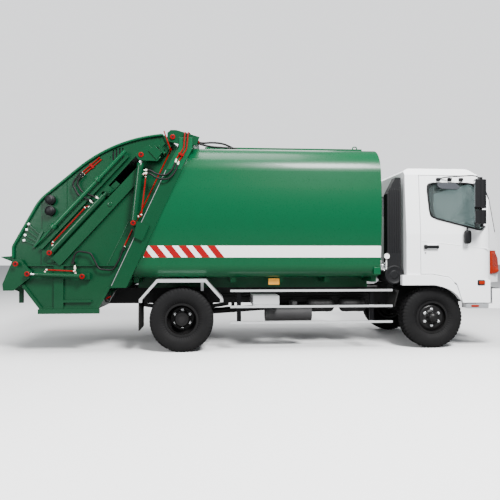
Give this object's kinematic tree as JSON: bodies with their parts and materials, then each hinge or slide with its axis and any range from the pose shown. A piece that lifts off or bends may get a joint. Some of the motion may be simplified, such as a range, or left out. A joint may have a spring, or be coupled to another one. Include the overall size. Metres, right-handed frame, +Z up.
{
  "type": "rear loading garbage truck",
  "caption": "Two-axle cab-over garbage truck with an oval body, lifting tailgate, packing slide and blade, bin lifter, ejector wall, tilting cab and turning wheels.",
  "frame": {"origin": "on the ground under the middle of the vehicle's overall length and width", "axes": "+X forward, +Y to the vehicle's left, +Z up"},
  "size_m": [6.78, 2.64, 2.9139],
  "materials": {
    "frame_black": "satin black chassis paint",
    "body_green": "gloss green paint",
    "steel_grey": "worn grey steel",
    "chrome_rod": "hard chromed rods",
    "cast_grey": "cast and heat-greyed metal",
    "cab_white": "gloss white paint",
    "glass_clear": "clear tinted glass",
    "lamp_clear": "clear lamp lens",
    "lamp_orange": "orange lens",
    "plastic_black": "textured black plastic",
    "seat_cloth": "grey seat cloth",
    "tyre_rubber": "black tyre rubber",
    "rim_black": "black painted steel wheel",
    "guard_silver": "bright aluminium",
    "flap_rubber": "black rubber flap",
    "lever_metal": "plated levers with pale knobs",
    "pipe_red": "red painted steel pipe",
    "hose_black": "black hydraulic hose"
  },
  "bodies": {
    "chassis": {"chassis_frame": "frame_black", "body_subframe": "body_green", "body_shell": "body_green", "rear_portal": "body_green", "front_axle": "frame_black", "rear_axle": "frame_black", "leaf_springs": "frame_black", "prop_shaft": "frame_black", "engine_block": "cast_grey", "fuel_tank": "plastic_black", "battery_box": "guard_silver", "silencer": "cast_grey", "side_guards": "guard_silver", "rear_mudguards": "guard_silver", "mud_flaps": "flap_rubber", "bumper": "cab_white", "head_lamps": "lamp_clear", "air_intake": "plastic_black"},
    "cab": {"cab_shell": "cab_white", "cab_glass": "glass_clear", "grille": "plastic_black", "seats": "seat_cloth", "dash": "plastic_black", "corner_lamps": "lamp_orange"},
    "ejector": {"ejector_panel": "steel_grey"},
    "tailgate": {"tailgate_shell": "body_green", "tailgate_frame": "body_green", "slide_barrels": "body_green", "control_levers": "lever_metal", "work_lamps": "plastic_black", "tail_pipes": "pipe_red", "tail_hose": "hose_black"},
    "lift_barrel": {"lift_barrels": "body_green", "lift_pipes": "pipe_red"},
    "lift_rod": {"lift_rods": "chrome_rod"},
    "carriage": {"packer_carriage": "body_green", "blade_barrels": "body_green"},
    "blade": {"packer_blade": "body_green"},
    "blade_rod": {"blade_rods": "chrome_rod"},
    "lifter": {"bin_lifter": "body_green"},
    "lifter_barrel": {"lifter_barrels": "body_green", "lifter_pipes": "pipe_red"},
    "lifter_rod": {"lifter_rods": "chrome_rod"},
    "door_right": {"cab_door_right": "cab_white", "door_glass_right": "glass_clear", "mirror_right": "plastic_black"},
    "knuckle_right": {"steering_knuckle_right": "frame_black"},
    "front_wheel_right": {"front_rim_right": "rim_black", "front_tyre_right": "tyre_rubber"},
    "rear_wheel_right": {"rear_rims_right": "rim_black", "rear_tyres_right": "tyre_rubber"},
    "door_left": {"cab_door_left": "cab_white", "door_glass_left": "glass_clear", "mirror_left": "plastic_black"},
    "knuckle_left": {"steering_knuckle_left": "frame_black"},
    "front_wheel_left": {"front_rim_left": "rim_black", "front_tyre_left": "tyre_rubber"},
    "rear_wheel_left": {"rear_rims_left": "rim_black", "rear_tyres_left": "tyre_rubber"}
  },
  "joints": [
    {"name": "rear_wheel_right_spin", "type": "hinge", "parent": "chassis", "child": "rear_wheel_right", "pos_m": [-1.07, -0.83, 0.42], "axis": [0, 1, 0], "continuous": true},
    {"name": "steer_right", "type": "hinge", "parent": "chassis", "child": "knuckle_right", "pos_m": [2.35, -0.7, 0.42], "axis": [0, 0, 1], "range_deg": [-35, 35]},
    {"name": "front_wheel_right_spin", "type": "hinge", "parent": "knuckle_right", "child": "front_wheel_right", "pos_m": [2.35, -0.885, 0.42], "axis": [0, 1, 0], "continuous": true},
    {"name": "rear_wheel_left_spin", "type": "hinge", "parent": "chassis", "child": "rear_wheel_left", "pos_m": [-1.07, 0.83, 0.42], "axis": [0, 1, 0], "continuous": true},
    {"name": "steer_left", "type": "hinge", "parent": "chassis", "child": "knuckle_left", "pos_m": [2.35, 0.7, 0.42], "axis": [0, 0, 1], "range_deg": [-35, 35]},
    {"name": "front_wheel_left_spin", "type": "hinge", "parent": "knuckle_left", "child": "front_wheel_left", "pos_m": [2.35, 0.885, 0.42], "axis": [0, 1, 0], "continuous": true},
    {"name": "cab_tilt", "type": "hinge", "parent": "chassis", "child": "cab", "pos_m": [3.27, 0, 0.862], "axis": [0, 1, 0], "range_deg": [0, 45]},
    {"name": "door_right", "type": "hinge", "parent": "cab", "child": "door_right", "pos_m": [3.137, -1.045, 1.5], "axis": [0, 0, 1], "range_deg": [0, 70]},
    {"name": "door_left", "type": "hinge", "parent": "cab", "child": "door_left", "pos_m": [3.137, 1.045, 1.5], "axis": [0, 0, 1], "range_deg": [-70, 0]},
    {"name": "ejector_slide", "type": "slide", "parent": "chassis", "child": "ejector", "axis": [-1, 0, 0], "range_m": [0, 1.9]},
    {"name": "tailgate_lift", "type": "hinge", "parent": "chassis", "child": "tailgate", "pos_m": [-1.185, 0, 2.819], "axis": [0, 1, 0], "range_deg": [0, 75]},
    {"name": "lift_swing", "type": "hinge", "parent": "chassis", "child": "lift_barrel", "pos_m": [-1.685, 0, 1.689], "axis": [0, 1, 0], "range_deg": [-1.75, 1.5]},
    {"name": "lift_rod", "type": "slide", "parent": "lift_barrel", "child": "lift_rod", "axis": [0.1115, 0, 0.9938], "range_m": [0, 0.57803]},
    {"name": "lifter_swing", "type": "hinge", "parent": "tailgate", "child": "lifter_barrel", "pos_m": [-2.336, 0, 1.001], "axis": [0, 1, 0], "range_deg": [-1.5, 4.54]},
    {"name": "lifter_rod", "type": "slide", "parent": "lifter_barrel", "child": "lifter_rod", "axis": [-0.9988, 0, 0.0494], "range_m": [0, 0.33084]},
    {"name": "lifter_turn", "type": "hinge", "parent": "tailgate", "child": "lifter", "pos_m": [-3.164, 0, 1.163], "axis": [0, 1, 0], "range_deg": [0, 120]},
    {"name": "packer_slide", "type": "slide", "parent": "tailgate", "child": "carriage", "axis": [0.6717, 0, 0.7408], "range_m": [0, 0.55]},
    {"name": "blade_turn", "type": "hinge", "parent": "carriage", "child": "blade", "pos_m": [-2.54394, 0, 1.54117], "axis": [0, 1, 0], "range_deg": [0, 85]},
    {"name": "blade_rod", "type": "slide", "parent": "carriage", "child": "blade_rod", "axis": [-0.6757, 0, -0.7372], "range_m": [-0.28775, 0]}
  ],
  "couplings": [
    {"joint": "steer_left", "follows": "steer_right", "ratio": 1},
    {"joint": "lift_swing", "follows": "tailgate_lift", "ratio": -0.003348},
    {"joint": "lift_rod", "follows": "tailgate_lift", "m_per_rad": 0.43853},
    {"joint": "lifter_swing", "follows": "lifter_turn", "ratio": 0.025361},
    {"joint": "lifter_rod", "follows": "lifter_turn", "m_per_rad": 0.15606},
    {"joint": "blade_rod", "follows": "blade_turn", "m_per_rad": -0.19126}
  ]
}
